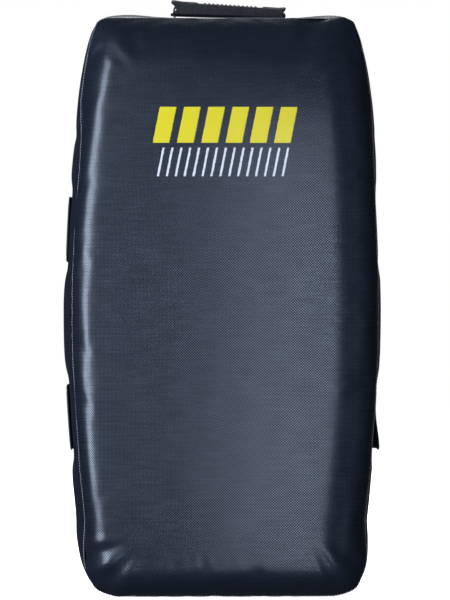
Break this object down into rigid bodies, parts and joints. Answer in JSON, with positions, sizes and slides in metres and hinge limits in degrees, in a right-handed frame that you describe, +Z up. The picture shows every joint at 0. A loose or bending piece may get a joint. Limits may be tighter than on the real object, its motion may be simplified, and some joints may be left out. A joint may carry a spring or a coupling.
{
  "type": "kick shield",
  "caption": "Bowed, barrel-shaped padded kick shield with a zipped coated-fabric cover, a moulded carry handle, a back hand grip and arm straps.",
  "frame": {"origin": "centre of the flat base, on the surface that the shield stands on", "axes": "+Z up along the shield, -Y towards the person who kicks, +X to the right seen from the front"},
  "size_m": [0.3892, 0.2181, 0.7227],
  "materials": {
    "cover_fabric": "semi-gloss coated tarpaulin with a fine plain weave",
    "strap_fabric": "coated strap fabric, doubled and stitched",
    "webbing": "matte woven webbing",
    "grip_plastic": "soft moulded plastic, satin",
    "sleeve_fabric": "padded coated-fabric sleeve",
    "closure": "hook and loop tape",
    "zip_tape": "woven zip tape",
    "zip_coil": "nylon coil",
    "zip_metal": "black enamelled die casting",
    "foam_firm": "closed-cell foam, dense",
    "foam_soft": "open-cell foam, soft"
  },
  "bodies": {
    "shield": {"front_panel": "cover_fabric", "gusset_upper": "cover_fabric", "gusset_lower": "cover_fabric", "back_panel_upper": "cover_fabric", "back_panel_lower": "cover_fabric", "impact_foam": "foam_firm", "core_foam": "foam_soft", "rear_foam": "foam_firm", "zip_tape_upper": "zip_tape", "zip_tape_lower": "zip_tape", "zip_coil_upper": "zip_coil", "zip_coil_lower": "zip_coil", "zip_stops": "zip_metal", "carry_webbing_tails": "webbing", "hand_grip_patches": "strap_fabric", "hand_grip_ends": "webbing", "upper_strap_left": "strap_fabric", "upper_strap_tab": "strap_fabric", "upper_loop_patch": "closure", "lower_strap_left": "strap_fabric", "lower_strap_tab": "strap_fabric", "lower_loop_patch": "closure"},
    "carry_handle": {"carry_webbing_legs": "webbing"},
    "carry_grip": {"carry_grip": "grip_plastic", "carry_webbing_core": "webbing"},
    "hand_grip": {"hand_grip_webbing": "webbing", "hand_grip_sleeve": "sleeve_fabric"},
    "upper_flap": {"upper_strap_flap": "strap_fabric", "upper_hook_patch": "closure"},
    "lower_flap": {"lower_strap_flap": "strap_fabric", "lower_hook_patch": "closure"},
    "zip_slider": {"zip_slider": "zip_metal"},
    "zip_pull": {"zip_pull": "zip_metal"}
  },
  "joints": [
    {"name": "carry_handle_swing", "type": "hinge", "parent": "shield", "child": "carry_handle", "pos_m": [0.01, 0, 0.7], "axis": [1, 0, 0], "range_deg": [-8, 8]},
    {"name": "carry_grip_lift", "type": "slide", "parent": "carry_handle", "child": "carry_grip", "axis": [0, 0, 1], "range_m": [0, 0.014], "deforming": ["carry_webbing_legs"]},
    {"name": "hand_grip_swing", "type": "hinge", "parent": "shield", "child": "hand_grip", "pos_m": [0, 0.02453, 0.54], "axis": [1, 0, 0], "range_deg": [-18, 18]},
    {"name": "upper_strap_open", "type": "hinge", "parent": "shield", "child": "upper_flap", "pos_m": [0.19308, 0.03037, 0.445], "axis": [0, 0, -1], "range_deg": [0, 100]},
    {"name": "lower_strap_open", "type": "hinge", "parent": "shield", "child": "lower_flap", "pos_m": [0.1917, 0.03392, 0.216], "axis": [0, 0, -1], "range_deg": [0, 100]},
    {"name": "zip_slide", "type": "slide", "parent": "shield", "child": "zip_slider", "axis": [1, 0, 0], "range_m": [0, 0.2759]},
    {"name": "zip_pull_swing", "type": "hinge", "parent": "zip_slider", "child": "zip_pull", "pos_m": [-0.13796, 0.03727, 0.09564], "axis": [0, -0.1478, 0.989], "range_deg": [0, 170]}
  ]
}
